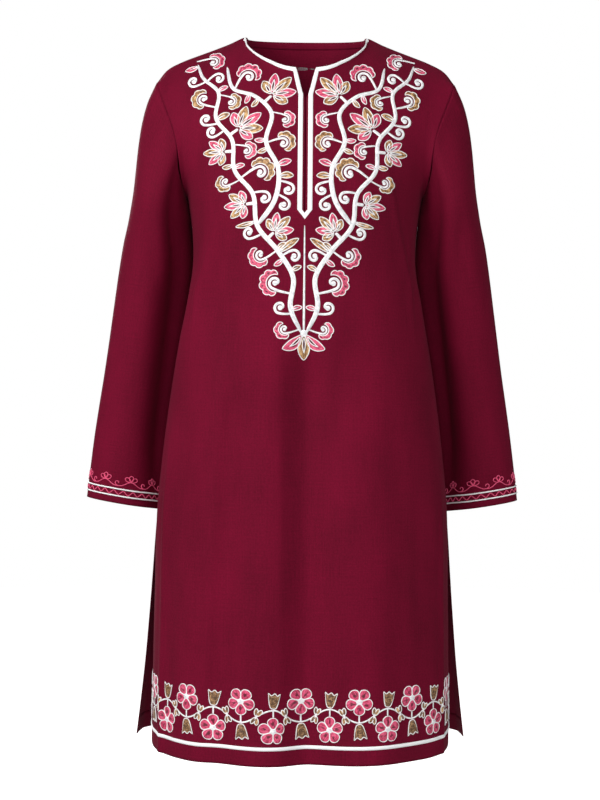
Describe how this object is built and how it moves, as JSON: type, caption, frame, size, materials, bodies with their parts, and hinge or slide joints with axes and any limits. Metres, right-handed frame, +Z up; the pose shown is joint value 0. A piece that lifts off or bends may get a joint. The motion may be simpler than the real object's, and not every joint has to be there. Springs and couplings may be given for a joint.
{
  "type": "kurta tunic, filled out as worn, with no wearer",
  "caption": "Long maroon tunic with set-in sleeves, a braid-edged slit neckline, side slits and floral embroidery at the yoke, cuffs and hem.",
  "frame": {"origin": "midway between the two high points of the shoulders, where the neckline meets the shoulder seams", "axes": "+Z up the body, +X to the right of someone who faces the front, the front faces -Y"},
  "size_m": [0.5972, 0.3033, 0.9567],
  "materials": {
    "maroon_cloth": "plain weave, matt with a faint sheen",
    "white_braid": "flat woven braid",
    "hook_metal": "plain wire"
  },
  "bodies": {
    "root": {"back_hem_turn_up": "maroon_cloth", "back_neck_facing": "maroon_cloth", "back_panel": "maroon_cloth", "cuff_cord_left_high": "white_braid", "cuff_cord_left_low": "white_braid", "cuff_cord_right_high": "white_braid", "cuff_cord_right_low": "white_braid", "front_panel": "maroon_cloth", "hem_braid": "white_braid", "neck_braid": "white_braid", "neck_eye": "hook_metal", "neck_hook": "hook_metal", "sleeve_left": "maroon_cloth", "sleeve_right": "maroon_cloth"}
  },
  "joints": []
}
